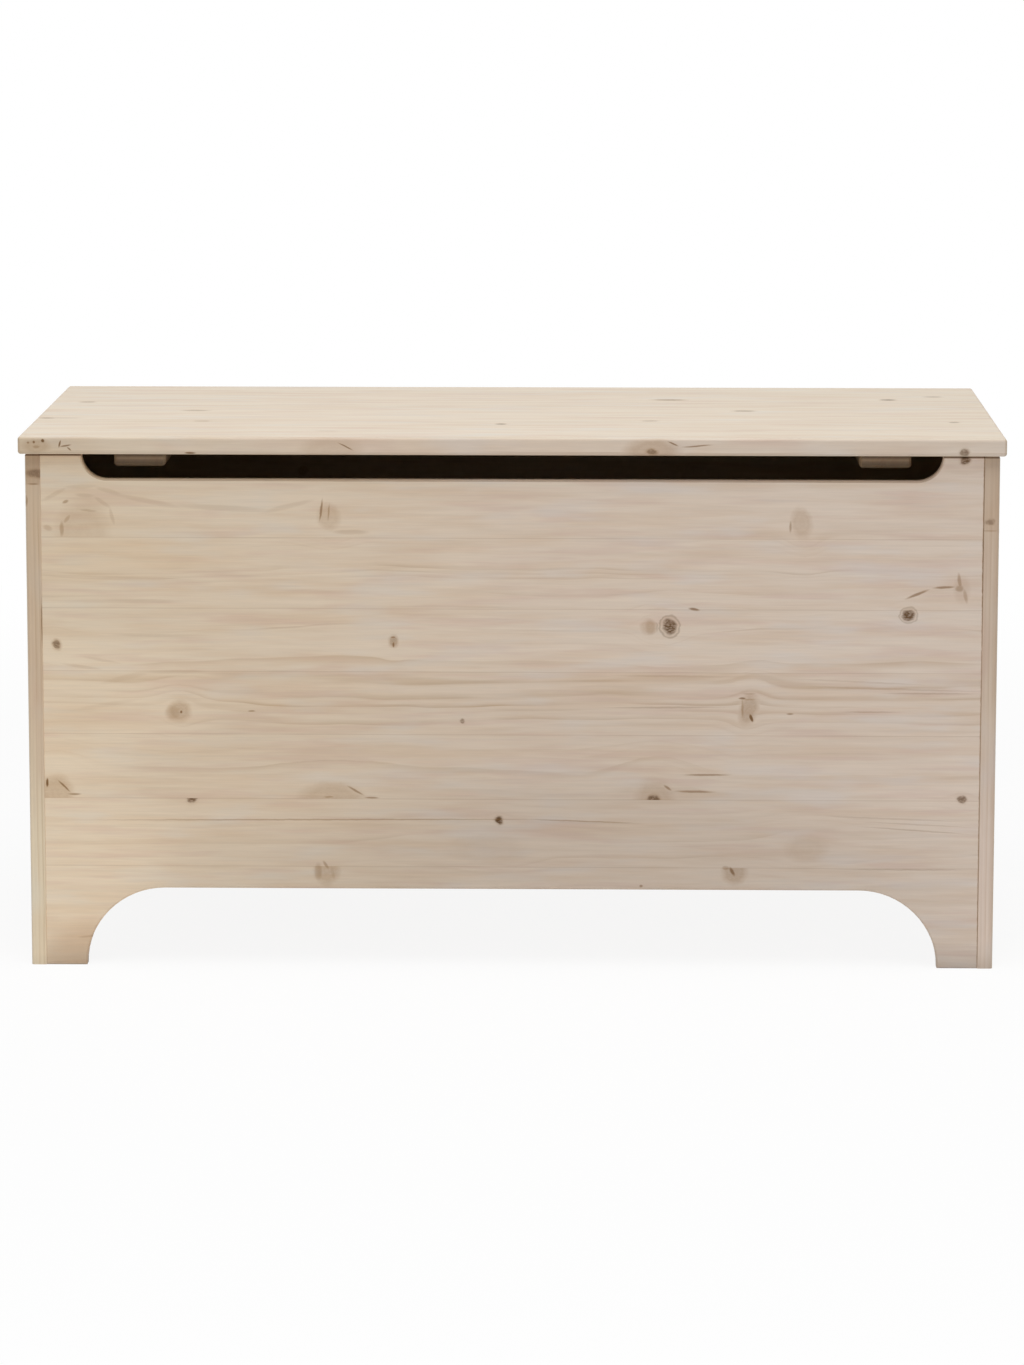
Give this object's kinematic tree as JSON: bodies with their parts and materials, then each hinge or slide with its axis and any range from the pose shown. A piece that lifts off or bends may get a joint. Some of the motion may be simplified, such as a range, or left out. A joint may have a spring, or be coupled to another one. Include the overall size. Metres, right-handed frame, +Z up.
{
  "type": "storage box",
  "caption": "Rectangular pine storage box on arched feet, with an overhanging hinged lid and a long rounded grip slot under its front edge.",
  "frame": {"origin": "on the floor under the middle of the lid", "axes": "+X along the box to the viewer's right, the front with the grip slot faces -Y, +Z up"},
  "size_m": [0.84, 0.42, 0.46],
  "materials": {
    "pine_panel": "thin white wash over knotty edge-glued pine, matt",
    "pine_inside": "planed pine, hidden inside and below, matt",
    "beech_dowel": "bare grooved dowel",
    "hinge_steel": "zinc-plated sheet steel, satin",
    "screw_steel": "zinc-plated, satin"
  },
  "bodies": {
    "chest": {"front_panel": "pine_panel", "back_panel": "pine_panel", "left_side_panel": "pine_panel", "right_side_panel": "pine_panel", "bottom_panel": "pine_inside", "front_bottom_cleat": "pine_inside", "back_bottom_cleat": "pine_inside", "left_bottom_cleat": "pine_inside", "right_bottom_cleat": "pine_inside", "left_corner_dowels": "beech_dowel", "right_corner_dowels": "beech_dowel", "left_hinge_body_leaf": "hinge_steel", "right_hinge_body_leaf": "hinge_steel", "left_hinge_pin": "hinge_steel", "right_hinge_pin": "hinge_steel", "left_corner_screws": "screw_steel", "right_corner_screws": "screw_steel", "cleat_screws": "screw_steel", "hinge_body_screws": "screw_steel"},
    "lid": {"lid_panel": "pine_panel", "left_lid_batten": "pine_panel", "right_lid_batten": "pine_panel", "lid_batten_screws": "screw_steel", "left_hinge_lid_leaf": "hinge_steel", "right_hinge_lid_leaf": "hinge_steel", "hinge_lid_screws": "screw_steel"}
  },
  "joints": [
    {"name": "lid_hinge", "type": "hinge", "parent": "chest", "child": "lid", "pos_m": [0, 0.19485, 0.4423], "axis": [-1, 0, 0], "range_deg": [0, 112]}
  ]
}
